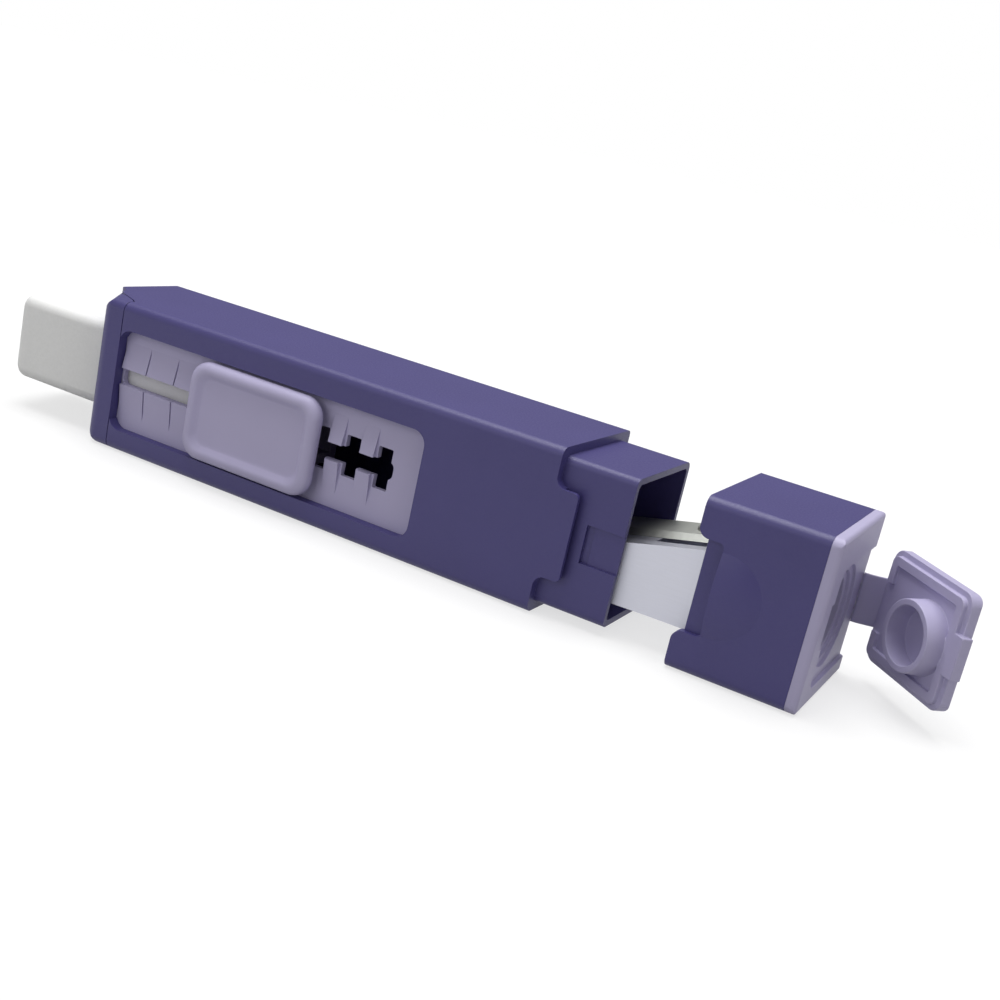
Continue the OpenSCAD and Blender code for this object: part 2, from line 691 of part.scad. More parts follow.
module cap_shell() color(dark_plastic) {
    lip_x = cap_x + lap_x + cap_gap;
    pad_x0 = cap_x + tongue_l + cap_gap;
    pad_rim = pad_h / 2;
    pad_r = (pad_rim * pad_rim + pad_proud * pad_proud) / (2 * pad_proud);
    nub_x = cap_x + snap_x + cap_gap;
    difference() {
        along_x(cap_x, cap_end_x) stick_section();
        along_x(cap_x - over, cap_end_x + over)
            rounded(cap_in_y0, cap_in_y1, cap_in_z0, cap_in_z1, neck_edge_r);
        // Notch for the tongue, and the lowered lip that it laps over
        along_y(front_y - over, cap_in_y0 + over) intersection() {
            tongue_outline(cap_x, cap_gap);
            flat(cap_x - over, lip_x, 0, body_h);
        }
        along_y(front_y - over, front_y + lap_t + cap_gap) intersection() {
            tongue_outline(cap_x, cap_gap);
            flat(cap_x - over, pad_x0, 0, body_h);
        }
    }
    // Thumb pad, a low round dome that the notch cuts off
    intersection() {
        box([pad_x0, front_y - pad_proud - over, 0], [cap_end_x, front_y + lap_t, body_h]);
        translate([pad_x0 + pad_l - pad_rim, front_y - pad_proud + pad_r, snap_z]) sphere(r = pad_r, $fn = 128);
    }
    // Nub that snaps into the neck's slot
    box([nub_x, cap_in_y0 - seat_gap, snap_z - snap_h / 2 + cap_gap],
        [nub_x + snap_w - 2 * cap_gap, cap_in_y0 + nub_proud, snap_z + snap_h / 2 - cap_gap]);
}

// A round hole along X, centred on the pencil
module pencil_hole(x0, x1, r) {
    translate([x0, axis_y, hole_z]) rotate([0, 90, 0]) cylinder(h = x1 - x0, r = r);
}

module end_bezel() color(pale_plastic) {
    back_x = cap_end_x - 2 * bezel_r - over;
    wedge_y0 = axis_y - wedge_w / 2 - fit_gap;
    wedge_y1 = axis_y + wedge_w / 2 + fit_gap;
    difference() {
        union() {
            intersection() {
                along_x(cap_end_x, bezel_x) stick_section();
                along_y(front_y, back_y) rounded(back_x, bezel_x, 0, body_h, bezel_r);
                along_z(0, body_h) rounded(back_x, bezel_x, front_y, back_y, bezel_r);
            }
            // Plug in the shell, and the socket round the wedge
            along_x(plug_x - socket_l, cap_end_x + seat_gap)
                rounded(cap_in_y0 + fit_gap, cap_in_y1 - fit_gap, cap_in_z0 + fit_gap, cap_in_z1 - fit_gap,
                    neck_edge_r);
        }
        box([plug_x - socket_l - over, wedge_y0, wedge_z0 - fit_gap],
            [plug_x, wedge_y1, wedge_z0 + wedge_h + blade_t]);
        // Recess of the lid, open at the back, with a notch for the latch tab
        along_x(recess_x, bezel_x + over) {
            rounded(lid_y0 - lid_gap, back_y + lid_r + over, recess_z - recess_h / 2, recess_z + recess_h / 2,
                lid_r);
            flat(lid_y0 - tab_proud - lid_gap, lid_y0 + lid_r,
                lid_z - tab_h / 2 - lid_gap, lid_z + tab_h / 2 + lid_gap);
        }
        // Stepped mouth of the pencil hole
        pencil_hole(recess_x - mouth_deep, bezel_x + over, mouth_r);
        pencil_hole(recess_x - 2 * mouth_deep, bezel_x + over, mouth_step_r);
        pencil_hole(plug_x - over, bezel_x + over, hole_r);
    }
}

// The lid as it stands when it is closed over the pencil hole
module closed_lid() {
    inner_y0 = lid_y0 + lid_step;
    inner_y1 = lid_y1 - lid_step;
    inner_z0 = lid_z0 + lid_step;
    inner_z1 = lid_z1 - lid_step;
    // Plate with round outer edges
    intersection() {
        along_x(plate_x, lid_x1) rounded(lid_y0, lid_y1, lid_z0, lid_z1, lid_r);
        along_y(lid_y0, lid_y1) rounded(plate_x - 2 * lid_edge_r, lid_x1, lid_z0, lid_z1, lid_edge_r);
        along_z(lid_z0, lid_z1) rounded(plate_x - 2 * lid_edge_r, lid_x1, lid_y0, lid_y1, lid_edge_r);
    }
    along_x(slab_x, plate_x + lid_t / 2) rounded(inner_y0, inner_y1, inner_z0, inner_z1, lid_r - lid_step);
    // Rib round the inner face, open at the strap
    along_x(rib_x, plate_x) difference() {
        rounded(inner_y0, inner_y1, inner_z0, inner_z1, lid_r - lid_step);
        rounded(inner_y0 + rib_border, inner_y1 - rib_border, inner_z0 + rib_border, inner_z1 - rib_border,
            inner_r);
        flat(inner_y1 - rib_border - over, lid_y1, strap_z - strap_h / 2, strap_z + strap_h / 2);
    }
    // Latch tab on the free edge
    box([rib_x, lid_y0 - tab_proud, lid_z - tab_h / 2],
        [plate_x + lid_t / 2, inner_y0 + rib_border / 2, lid_z + tab_h / 2]);
    // Ring that plugs the pencil hole
    difference() {
        translate([rib_x - ring_proud, axis_y, hole_z]) rotate([0, 90, 0])
            cylinder(h = ring_proud + rib_border_t + slab_t, r1 = ring_r - ring_taper, r2 = ring_r);
        pencil_hole(rib_x - ring_proud - over, slab_x, ring_r - ring_wall);
    }
}

module lid() color(pale_plastic) {
    translate([hinge_x, hinge_y, 0]) rotate([0, 0, lid_open]) translate([-hinge_x, -hinge_y, 0]) closed_lid();
}

module hinge_strap() color(pale_plastic) {
    along_z(strap_z - strap_h / 2, strap_z + strap_h / 2) polygon([
        [recess_x, back_y - strap_t], [bezel_x, back_y - strap_t],
        turned(plate_x, lid_y1 + seat_gap), turned(lid_x1 - lid_edge_r, lid_y1 + seat_gap),
        [bezel_x, back_y], [recess_x, back_y]]);
}

// Places its children on the wedge's sloping face, X along the fall and Z square to it
module on_slope() {
    translate([wedge_x0, axis_y - wedge_w / 2, wedge_z0 + wedge_h - wedge_l * wedge_slope])
        rotate([0, -wedge_fall, 0]) children();
}

// Middle of the blade along the slope, where the blade starts, and its underside
blade_x0 = screw_x - blade_l / 2;
blade_y0 = wedge_w - blade_w - seat_gap * 3;
blade_z0 = -seat_deep;

module sharpener_body() color(wedge_metal) {
    y0 = axis_y - wedge_w / 2;
    y1 = axis_y + wedge_w / 2;
    waist_half = wedge_l / 2 - waist * 2;
    waist_r = (waist_half * waist_half + waist * waist) / (2 * waist);
    difference() {
        along_y(y0, y1) polygon([
            [wedge_x0, wedge_z0], [wedge_x1, wedge_z0], [wedge_x1, wedge_z0 + wedge_h],
            [wedge_x0, wedge_z0 + wedge_h - wedge_l * wedge_slope]]);
        // Hollow long sides
        for (y = [y0 + waist - waist_r, y1 - waist + waist_r])
            translate([(wedge_x0 + wedge_x1) / 2, y, wedge_z0 - over])
                cylinder(h = wedge_h + 2 * over, r = waist_r, $fn = 96);
        // Pencil hole: straight, then a cone that runs out at the small end
        pencil_hole(wedge_x1 - bore_l, wedge_x1 + over, bore_r);
        translate([wedge_x0 - over, axis_y, hole_z]) rotate([0, 90, 0])
            cylinder(h = wedge_l - bore_l + over,
                r1 = bore_r - (wedge_l - bore_l + over) * wedge_slope, r2 = bore_r);
        // Seat of the blade, its screw hole and the shavings slot
        on_slope() {
            translate([-over, seat_y, -seat_deep]) cube([wedge_l + 3 * over, wedge_w, wedge_h]);
            translate([screw_x, wedge_w - screw_y_in, -seat_deep - screw_l - fit_gap])
                cylinder(h = wedge_h, r = screw_r + fit_gap);
        }
        box([wedge_x0 + swarf_x, y0 + seat_y, hole_z + bore_r / 4],
            [wedge_x0 + swarf_x + swarf_l, y0 + blade_y0 + grind_w / 4, wedge_z0 + wedge_h + over]);
    }
}

module sharpener_blade() color(steel) {
    on_slope() difference() {
        translate([blade_x0, blade_y0, blade_z0]) along_x(0, blade_l) polygon([
            [0, 0], [blade_w, 0], [blade_w, blade_t], [grind_w, blade_t], [0, blade_t / 10]]);
        translate([screw_x, wedge_w - screw_y_in, blade_z0 - over]) cylinder(h = 3 * over, r = screw_r + fit_gap);
    }
}

module blade_screw() color(steel) {
    on_slope() translate([screw_x, wedge_w - screw_y_in, blade_z0]) difference() {
        union() {
            translate([0, 0, -screw_l]) cylinder(h = screw_l + blade_t + seat_gap, r = screw_r);
            translate([0, 0, blade_t]) cylinder(h = screw_head_t / 3, r = screw_head_r);
            translate([0, 0, blade_t + screw_head_t / 3])
                cylinder(h = screw_head_t * 2 / 3, r1 = screw_head_r, r2 = screw_head_r * 2 / 3);
        }
        translate([-driver_w / 2, -screw_head_r - over, blade_t + screw_head_t - driver_deep])
            cube([driver_w, 2 * (screw_head_r + over), screw_head_t]);
    }
}

main_casing();
nose_frame();
track_plate();
eraser_carrier();
eraser();
return_leaf();
slider_button();
cap_shell();
end_bezel();
hinge_strap();
lid();
sharpener_body();
sharpener_blade();
blade_screw();
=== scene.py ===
# %% [markdown]
# # A pencil eraser stick
#
# The solids of the stick come in ready made, in real sizes. What is left to do here is what a product
# photographer and a finisher would do: set the camera where the photograph was taken, light the scene
# softly, give every moulding and every metal its surface, and make anew the few soft or thin pieces that
# a plain solid shows badly.
# Blender counts in metres. Lengths are written in millimetres here, because that is how
# a stick of this size is measured, and each is multiplied by MM.

# %% Load the frame
import json
import math
import bmesh
import bpy
from mathutils import Matrix, Vector


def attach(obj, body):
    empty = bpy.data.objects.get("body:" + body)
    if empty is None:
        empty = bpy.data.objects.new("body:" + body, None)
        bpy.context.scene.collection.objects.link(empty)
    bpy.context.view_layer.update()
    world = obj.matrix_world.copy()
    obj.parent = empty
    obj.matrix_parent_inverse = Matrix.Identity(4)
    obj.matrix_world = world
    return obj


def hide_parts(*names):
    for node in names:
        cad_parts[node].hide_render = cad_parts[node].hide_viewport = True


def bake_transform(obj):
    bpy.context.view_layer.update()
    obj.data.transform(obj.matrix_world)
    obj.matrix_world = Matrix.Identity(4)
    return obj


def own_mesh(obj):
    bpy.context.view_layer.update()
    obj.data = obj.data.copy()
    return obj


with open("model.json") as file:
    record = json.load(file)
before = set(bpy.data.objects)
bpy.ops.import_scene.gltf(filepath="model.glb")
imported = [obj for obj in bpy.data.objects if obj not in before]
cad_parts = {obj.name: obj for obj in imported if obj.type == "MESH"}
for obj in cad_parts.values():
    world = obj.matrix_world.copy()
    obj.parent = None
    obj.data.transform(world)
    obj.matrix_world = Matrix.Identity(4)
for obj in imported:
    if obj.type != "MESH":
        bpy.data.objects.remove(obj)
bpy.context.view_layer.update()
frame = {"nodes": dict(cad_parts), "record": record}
MM = 0.001
print("nodes:", sorted(frame["nodes"]))

# %% [markdown]
# ## The camera
#
# A camera has a place, three directions and a focal length. One could turn it by hand
# until the picture looks right, but that never fits every corner. Here all of it was
# worked out from the straight edges of the stick in the photograph, so that each corner
# of the model falls on the same corner in the picture.

# %% Camera
eye_mm = (93.546, -146.801, 53.825)
right = Vector((0.86156, 0.46172, 0.21101))
up = Vector((-0.30861, 0.14633, 0.93987))
back = Vector((0.40308, -0.87487, 0.26857))
camera_data = bpy.data.cameras.new("camera")
camera_data.sensor_fit = "HORIZONTAL"
camera_data.sensor_width = 36.0
camera_data.lens = 49.07
camera_data.clip_start = 0.01
camera = bpy.data.objects.new("camera", camera_data)
turn = Matrix((right, up, back)).transposed().to_4x4()
camera.matrix_world = Matrix.Translation(Vector(eye_mm) * MM) @ turn
bpy.context.collection.objects.link(camera)
bpy.context.scene.camera = camera
print("focal length in mm:", camera_data.lens)

# %% [markdown]
# ## Colours
#
# Colours are written as they look on a screen, in sRGB hex. A renderer counts in linear
# light, so one function turns the one into the other. Its numbers are those of the sRGB
# standard.

# %% Hex to linear light
def linear(hex_colour):
    channels = [int(hex_colour[i:i + 2], 16) / 255 for i in (1, 3, 5)]
    light = [c / 12.92 if c <= 0.04045 else ((c + 0.055) / 1.055) ** 2.4 for c in channels]
    return (*light, 1.0)


print("mid grey in linear light:", round(linear("#808080")[0], 3))

# %% [markdown]
# ## Building materials from nodes
#
# Each material is a small network of nodes. One function adds a node, sets its values
# and joins its inputs, so that a material reads from top to bottom like a recipe. Every
# pattern is laid out in the object's own coordinates, so it moves with the piece.

# %% One function that adds a node
def add(tree, kind, settings=None, links=None):
    node = tree.nodes.new(kind)
    for name, value in (settings or {}).items():
        if isinstance(name, int) or name in node.inputs:
            node.inputs[name].default_value = value
        else:
            setattr(node, name, value)
    for name, source in (links or {}).items():
        tree.links.new(source, node.inputs[name])
    return node


def new_material(name):
    material = bpy.data.materials.new(name)
    material.use_nodes = True
    tree = material.node_tree
    tree.nodes.clear()
    place = add(tree, "ShaderNodeTexCoord").outputs["Object"]
    return material, tree, place


def per_metre(size_mm):
    return 1000 / size_mm


print("a pattern of 2 mm repeats", per_metre(2), "times in a metre")

# %% [markdown]
# ## Moulded plastics
#
# The dark casing and cap are ABS, injection moulded in a spark-eroded mould. The mould
# leaves a very fine even grain, which spreads the highlights into a satin sheen. The
# pale pieces are moulded the same way, in polypropylene, which bends without breaking
# and so suits the lid's strap. The grain is about 0.05 mm in the real mould, too fine to
# show here, so it is drawn at 0.25 or 0.3 mm. A slow drift in colour, some 12 mm wide,
# stands for the flow of the pigment. ABS has an index of refraction of about 1.53, and
# polypropylene of 1.49. Noise mostly lies between 0.3 and 0.7, and that part of it is
# spread over the roughness.

# %% ABS and polypropylene
drift_mm = 12
noise_low, noise_high = 0.3, 0.7


def moulded_plastic(name, deep, light, roughness, grain_mm, grain_height_mm, ior):
    material, tree, place = new_material(name)
    drift = add(tree, "ShaderNodeTexNoise",
                {"Scale": per_metre(drift_mm), "Detail": 3.0, "Roughness": 0.6}, {"Vector": place})
    grain = add(tree, "ShaderNodeTexNoise",
                {"Scale": per_metre(grain_mm), "Detail": 4.0, "Roughness": 0.55}, {"Vector": place})
    colour = add(tree, "ShaderNodeMixRGB", {"Color1": linear(deep), "Color2": linear(light)},
                 {"Fac": drift.outputs["Fac"]})
    satin = add(tree, "ShaderNodeMapRange",
                {"From Min": noise_low, "From Max": noise_high,
                 "To Min": roughness - 0.05, "To Max": roughness + 0.07},
                {"Value": grain.outputs["Fac"]})
    relief = add(tree, "ShaderNodeBump", {"Strength": 0.35, "Distance": grain_height_mm * MM},
                 {"Height": grain.outputs["Fac"]})
    shader = add(tree, "ShaderNodeBsdfPrincipled", {"IOR": ior},
                 {"Base Color": colour.outputs["Color"], "Roughness": satin.outputs["Result"],
                  "Normal": relief.outputs["Normal"]})
    add(tree, "ShaderNodeOutputMaterial", links={"Surface": shader.outputs["BSDF"]})
    return material


abs_dark = moulded_plastic("moulded_abs_dark_purple", "#3E3870", "#453F7A",
                           roughness=0.46, grain_mm=0.25, grain_height_mm=0.02, ior=1.53)
pp_pale = moulded_plastic("moulded_polypropylene_lavender", "#B1ABCB", "#B8B2D2",
                          roughness=0.5, grain_mm=0.3, grain_height_mm=0.02, ior=1.49)
print("plastics:", abs_dark.name, pp_pale.name)

# %% [markdown]
# ## Vinyl of the eraser
#
# A white eraser is soft PVC filled with chalk, extruded and cut. It is matt, lets a
# little light in under its skin, and has faint lines along its length from the die,
# about 0.6 mm apart. Noise that is squeezed along the bar gives the lines, and a finer
# even noise gives the chalk. The relief is the sum of the two.

# %% Eraser vinyl
die_line_mm = 0.6
chalk_mm = 0.35
eraser_vinyl, tree, place = new_material("extruded_vinyl_white")
along = add(tree, "ShaderNodeMapping", {"Scale": (0.05, 1.0, 1.0)}, {"Vector": place})
lines = add(tree, "ShaderNodeTexNoise", {"Scale": per_metre(die_line_mm), "Detail": 3.0},
            {"Vector": along.outputs["Vector"]})
chalk = add(tree, "ShaderNodeTexNoise", {"Scale": per_metre(chalk_mm), "Detail": 5.0}, {"Vector": place})
height = add(tree, "ShaderNodeMath", {"operation": "ADD"},
             {0: lines.outputs["Fac"], 1: chalk.outputs["Fac"]})
tone = add(tree, "ShaderNodeMixRGB", {"Color1": linear("#E6E6E5"), "Color2": linear("#F1F1F0")},
           {"Fac": chalk.outputs["Fac"]})
relief = add(tree, "ShaderNodeBump", {"Strength": 0.3, "Distance": 0.03 * MM},
             {"Height": height.outputs["Value"]})
shader = add(tree, "ShaderNodeBsdfPrincipled",
             {"IOR": 1.52, "Roughness": 0.62, "Subsurface Weight": 0.12,
              "Subsurface Radius": (0.6, 0.6, 0.55), "Subsurface Scale": 1.0 * MM},
             {"Base Color": tone.outputs["Color"], "Normal": relief.outputs["Normal"]})
add(tree, "ShaderNodeOutputMaterial", links={"Surface": shader.outputs["BSDF"]})
print("eraser:", eraser_vinyl.name)

# %% [markdown]
# ## Metals
#
# The wedge of a small sharpener is magnesium alloy, milled from a bar: the cutter leaves
# fine lines along the bar. The blade is hardened carbon steel, ground across its width.
# Such lines are about 0.1 mm apart, so they are drawn at 0.25 and 0.3 mm to show at all.
# Both are metals, so their colour is the colour of their reflection, and the index of
# refraction stays as Blender has it. One function makes both: noise stretched along one
# axis becomes lines, which set the colour, the roughness and the relief together.

# %% Milled and ground metals
def tooled_metal(name, deep, light, roughness, line_mm, stretch):
    material, tree, place = new_material(name)
    drawn = add(tree, "ShaderNodeMapping", {"Scale": stretch}, {"Vector": place})
    lines = add(tree, "ShaderNodeTexNoise",
                {"Scale": per_metre(line_mm), "Detail": 4.0, "Roughness": 0.7},
                {"Vector": drawn.outputs["Vector"]})
    colour = add(tree, "ShaderNodeMixRGB", {"Color1": linear(deep), "Color2": linear(light)},
                 {"Fac": lines.outputs["Fac"]})
    satin = add(tree, "ShaderNodeMapRange",
                {"From Min": noise_low, "From Max": noise_high,
                 "To Min": roughness - 0.06, "To Max": roughness + 0.08},
                {"Value": lines.outputs["Fac"]})
    relief = add(tree, "ShaderNodeBump", {"Strength": 0.2, "Distance": 0.01 * MM},
                 {"Height": lines.outputs["Fac"]})
    shader = add(tree, "ShaderNodeBsdfPrincipled", {"Metallic": 1.0},
                 {"Base Color": colour.outputs["Color"], "Roughness": satin.outputs["Result"],
                  "Normal": relief.outputs["Normal"]})
    add(tree, "ShaderNodeOutputMaterial", links={"Surface": shader.outputs["BSDF"]})
    return material


magnesium = tooled_metal("milled_magnesium", "#BFC0CA", "#D3D4DE",
                         roughness=0.5, line_mm=0.25, stretch=(0.06, 1.0, 1.0))
blade_steel = tooled_metal("ground_carbon_steel", "#B2B4AF", "#C8CAC5",
                           roughness=0.52, line_mm=0.3, stretch=(1.0, 0.05, 1.0))
print("metals:", magnesium.name, blade_steel.name)

# %% [markdown]
# ## Giving each solid its material
#
# Each solid has one material slot of the record. A table turns that slot into the
# material made above, and the solid itself stays as it is.

# %% Materials of the solids
finish_of_slot = {
    "dark_plastic": abs_dark,
    "pale_plastic": pp_pale,
    "eraser_vinyl": eraser_vinyl,
    "wedge_metal": magnesium,
    "blade_steel": blade_steel,
    "spring_steel": blade_steel,
}
slot_of_node = {row["node"]: row["material_slot"] for row in frame["record"]["subparts"]}
for name, solid in frame["nodes"].items():
    for slot in solid.material_slots:
        slot.material = finish_of_slot[slot_of_node[name]]
print("solids with a material:", len(frame["nodes"]))

# %% [markdown]
# ## Edges
#
# No moulding has a knife edge: the mould's corners are a few tenths of a millimetre
# round, and each edge catches a thin highlight. A bevel modifier can round them all, but
# it needs whole faces, and a solid comes in as triangles, face by face. So the triangles
# of each face are first numbered as one patch, and then the flat ones are joined up.
# Where two patches meet at a gentle turn of 9 degrees or more, the edge stays crisp,
# such as the rim of the thumb pad. Inside a curved face the shading runs on.

# %% Whole faces from triangles
join_mm = 0.001
flat_degrees = 0.2
crisp_degrees = 9


def number_faces(shape):
    patch = shape.faces.layers.int.new("patch")
    count = 0
    for first in shape.faces:
        if first[patch]:
            continue
        count += 1
        first[patch] = count
        waiting = [first]
        while waiting:
            for edge in waiting.pop().edges:
                for face in edge.link_faces:
                    if not face[patch]:
                        face[patch] = count
                        waiting.append(face)
    return patch


def whole_faces(solid):
    shape = bmesh.new()
    shape.from_mesh(solid.data)
    patch = number_faces(shape)
    bmesh.ops.remove_doubles(shape, verts=shape.verts, dist=join_mm * MM)
    bmesh.ops.dissolve_limit(shape, angle_limit=math.radians(flat_degrees),
                             verts=shape.verts, edges=shape.edges)
    for edge in shape.edges:
        faces = edge.link_faces
        if len(faces) == 2 and faces[0][patch] != faces[1][patch]:
            edge.smooth = faces[0].normal.angle(faces[1].normal, 0) < math.radians(crisp_degrees)
    return shape


casing_faces = whole_faces(frame["nodes"]["main_casing"])
print("casing:", len(frame["nodes"]["main_casing"].data.polygons), "triangles,",
      len(casing_faces.faces), "whole faces")
casing_faces.free()

# %% [markdown]
# ## Soft copies
#
# The solid itself may not change, so a copy of it gets the round edges and stands in for it. Edges that
# turn by more than 32 degrees are rounded, by the width that suits the piece: wide on the casing, narrow
# on the blade. Weighted normals keep the flats flat. A piece can also lose some of its points and get a
# new face, as the button does further on.

# %% Copies with soft edges
round_degrees = 32
round_segments = 3
body_of_node = {name: body for body, names in frame["record"]["behaviour"]["bodies"].items()
                for name in names}


def into_scene(name, shape, material):
    mesh = bpy.data.meshes.new(name)
    for face in shape.faces:
        face.smooth = True
        face.material_index = 0
    shape.to_mesh(mesh)
    shape.free()
    mesh.materials.append(material)
    piece = bpy.data.objects.new(name, mesh)
    bpy.context.collection.objects.link(piece)
    return piece


def soften(name, width_mm, drop=None, extra=None):
    solid = frame["nodes"][name]
    shape = whole_faces(solid)
    if drop:
        bmesh.ops.delete(shape, geom=[v for v in shape.verts if drop(v.co)], context="VERTS")
    if extra:
        extra(shape)
    copy = into_scene(name + "_soft", shape, finish_of_slot[slot_of_node[name]])
    copy.matrix_world = solid.matrix_world.copy()
    edges = copy.modifiers.new("edges", "BEVEL")
    edges.width = width_mm * MM
    edges.segments = round_segments
    edges.limit_method = "ANGLE"
    edges.angle_limit = math.radians(round_degrees)
    edges.use_clamp_overlap = True
    flats = copy.modifiers.new("flats", "WEIGHTED_NORMAL")
    flats.keep_sharp = True
    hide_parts(name)
    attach(copy, body_of_node[name])
    return copy


edge_mm = {
    "main_casing": 0.18,
    "nose_frame": 0.15,
    "track_plate": 0.12,
    "cap_shell": 0.18,
    "end_bezel": 0.15,
    "lid": 0.15,
    "sharpener_body": 0.12,
    "sharpener_blade": 0.04,
    "blade_screw": 0.08,
    "eraser_carrier": 0.12,
}
for name, width in edge_mm.items():
    copy = soften(name, width)
    print(name, "faces:", len(copy.data.polygons))

# %% [markdown]
# ## The return leaf
#
# The leaf spring behind the button is flattened when the button is pressed, by the button's travel of
# 0.5 mm, and it gives way toward the side that lies on the carrier. A bow that really bends would need
# bones. Here the leaf is only a soft copy with a mesh of its own, and it keeps its shape.

# %% Leaf with a mesh of its own
leaf_edge_mm = 0.03
leaf = soften("return_leaf", leaf_edge_mm)
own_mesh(leaf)

# %% [markdown]
# ## Lofting
#
# The soft forms of this stick are lofted: a skin is laid over a row of rings that all
# have the same number of points. Each ring is a rectangle with round corners, so two
# small functions serve the eraser, the button's face and the strap.

# %% Rings and the skin over them
corner_steps = 8


def round_rectangle(half_x, half_z, radius):
    points = []
    for sx, sz, start in ((1, 1, 0), (-1, 1, 90), (-1, -1, 180), (1, -1, 270)):
        for k in range(corner_steps + 1):
            angle = math.radians(start + 90 * k / corner_steps)
            points.append((sx * (half_x - radius) + radius * math.cos(angle),
                           sz * (half_z - radius) + radius * math.sin(angle)))
    return points


def loft(shape, rings):
    loops = [[shape.verts.new([value * MM for value in point]) for point in ring] for ring in rings]
    count = len(loops[0])
    for low, high in zip(loops, loops[1:]):
        for k in range(count):
            shape.faces.new((low[k], low[(k + 1) % count], high[(k + 1) % count], high[k]))
    return loops


print("points in a ring:", len(round_rectangle(2, 1, 0.5)))

# %% [markdown]
# ## The eraser
#
# The block is cut from an extruded bar and its end is slanted and rubbed round. Rings
# run along the bar, and the first eight draw in to the round edge of the slanted end.
# Six millimetres behind it the bar is square again.

# %% Lofted eraser
bar_end_mm = (-52.15, -11.55)
bar_half_mm = (7.2, 5.85)
bar_mid_z_mm = 10.0
bar_corner_mm = 1.5
least_bar_corner_mm = 0.6
corner_loss = 0.4
end_round_mm = 1.9
end_slant_mm = 2.6
end_steps = 7
square_from_mm = 6


def eraser_ring(inset, behind, slanted=True):
    ring = []
    corner = max(bar_corner_mm - corner_loss * inset, least_bar_corner_mm)
    for y, z in round_rectangle(bar_half_mm[0] - inset, bar_half_mm[1] - inset, corner):
        slant = end_slant_mm * (bar_half_mm[0] - y) / (2 * bar_half_mm[0]) if slanted else 0
        ring.append((bar_end_mm[0] + behind + slant, y, bar_mid_z_mm + z))
    return ring


rings = []
for k in range(end_steps + 1):
    angle = math.radians(90 * k / end_steps)
    rings.append(eraser_ring(end_round_mm * (1 - math.sin(angle)), end_round_mm * (1 - math.cos(angle))))
rings.append(eraser_ring(0, square_from_mm, slanted=False))
rings.append(eraser_ring(0, bar_end_mm[1] - bar_end_mm[0], slanted=False))
shape = bmesh.new()
loops = loft(shape, rings)
shape.faces.new(loops[0])
shape.faces.new(loops[-1])
bmesh.ops.recalc_face_normals(shape, faces=shape.faces)
eraser = into_scene("eraser_worn", shape, eraser_vinyl)
eraser.modifiers.new("flats", "WEIGHTED_NORMAL").keep_sharp = True
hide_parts("eraser")
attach(eraser, body_of_node["eraser"])
print("eraser faces:", len(eraser.data.polygons))

# %% [markdown]
# ## The button
#
# The thumb button is a soft cushion: a fat round rim about a hollow field, all of it
# flowing from one curve to the next, as a thumb would like it. A bevel can't make that,
# so the face is lofted. Its profile says how far in from the outline and how far out
# from the stick each ring lies. The stem and the wings behind it stay as they are.

# %% Lofted button
button_mid_mm = (-5.3, 9.7)
button_half_mm = (10.05, 6.4)
button_corner_mm = 2.6
least_button_corner_mm = 0.9
button_corner_loss = 0.55
button_edge_mm = 0.12
foot_y_mm = -9.6
foot_margin_mm = 0.05
profile_mm = [(0.10, -9.60), (0.0, -9.80), (0.0, -10.15), (0.07, -10.50), (0.26, -10.81),
              (0.55, -11.04), (0.90, -11.15), (1.15, -11.14), (1.36, -11.07), (1.56, -10.92),
              (1.95, -10.55), (2.12, -10.47), (2.35, -10.45), (2.7, -10.45)]


def in_front_of_foot(point):
    return point.y < (foot_y_mm - foot_margin_mm) * MM


def cushion_face(shape):
    rings = []
    for inset, y in profile_mm:
        radius = max(button_corner_mm - button_corner_loss * inset, least_button_corner_mm)
        ring = round_rectangle(button_half_mm[0] - inset, button_half_mm[1] - inset, radius)
        rings.append([(button_mid_mm[0] + x, y, button_mid_mm[1] + z) for x, z in ring])
    shape.faces.new(loft(shape, rings)[-1])
    bmesh.ops.recalc_face_normals(shape, faces=shape.faces)


button = soften("slider_button", button_edge_mm, drop=in_front_of_foot, extra=cushion_face)
print("button faces:", len(button.data.polygons))

# %% [markdown]
# ## The hinge strap
#
# The lid hangs on a thin strap of the same plastic, a living hinge. It leaves the back of the bezel's
# recess and runs to the edge of the lid, thinner in its middle where it bends. It is a ribbon drawn
# along a short path in plan, lofted from one end to the other, and thinner at its upper and lower edge.
# A rigid piece would tear off one of the two bodies that it joins, so it hangs on neither of them and
# keeps its shape.

# %% Strap between the cap and the lid
strap_path_mm = [(68.90, 9.60), (69.20, 9.62), (69.55, 9.66), (69.95, 9.76), (70.40, 9.92),
                 (70.85, 10.10), (71.30, 10.31), (71.62, 10.47), (71.86, 10.60)]
strap_half_mm = [0.22, 0.22, 0.21, 0.18, 0.16, 0.16, 0.19, 0.26, 0.30]
strap_z_mm = (6.35, 12.45)
strap_round_mm = 0.35
strap_edge_loss = 0.45
strap_height_steps = 6


def strap_heights():
    low, high = strap_z_mm
    heights = [low, low + strap_round_mm / 3, low + strap_round_mm]
    heights += [low + (high - low) * k / strap_height_steps for k in range(1, strap_height_steps)]
    return heights + [high - strap_round_mm, high - strap_round_mm / 3, high]


def strap_ring(i):
    before = Vector(strap_path_mm[max(i - 1, 0)])
    after = Vector(strap_path_mm[min(i + 1, len(strap_path_mm) - 1)])
    ahead = (after - before).normalized()
    side = Vector((-ahead.y, ahead.x))
    ring = []
    for sign in (1, -1):
        for z in strap_heights()[::sign]:
            edge = min(z - strap_z_mm[0], strap_z_mm[1] - z) / strap_round_mm
            thin = 1 - strap_edge_loss * (1 - min(1.0, edge))
            point = Vector(strap_path_mm[i]) + side * strap_half_mm[i] * thin * sign
            ring.append((point.x, point.y, z))
    return ring


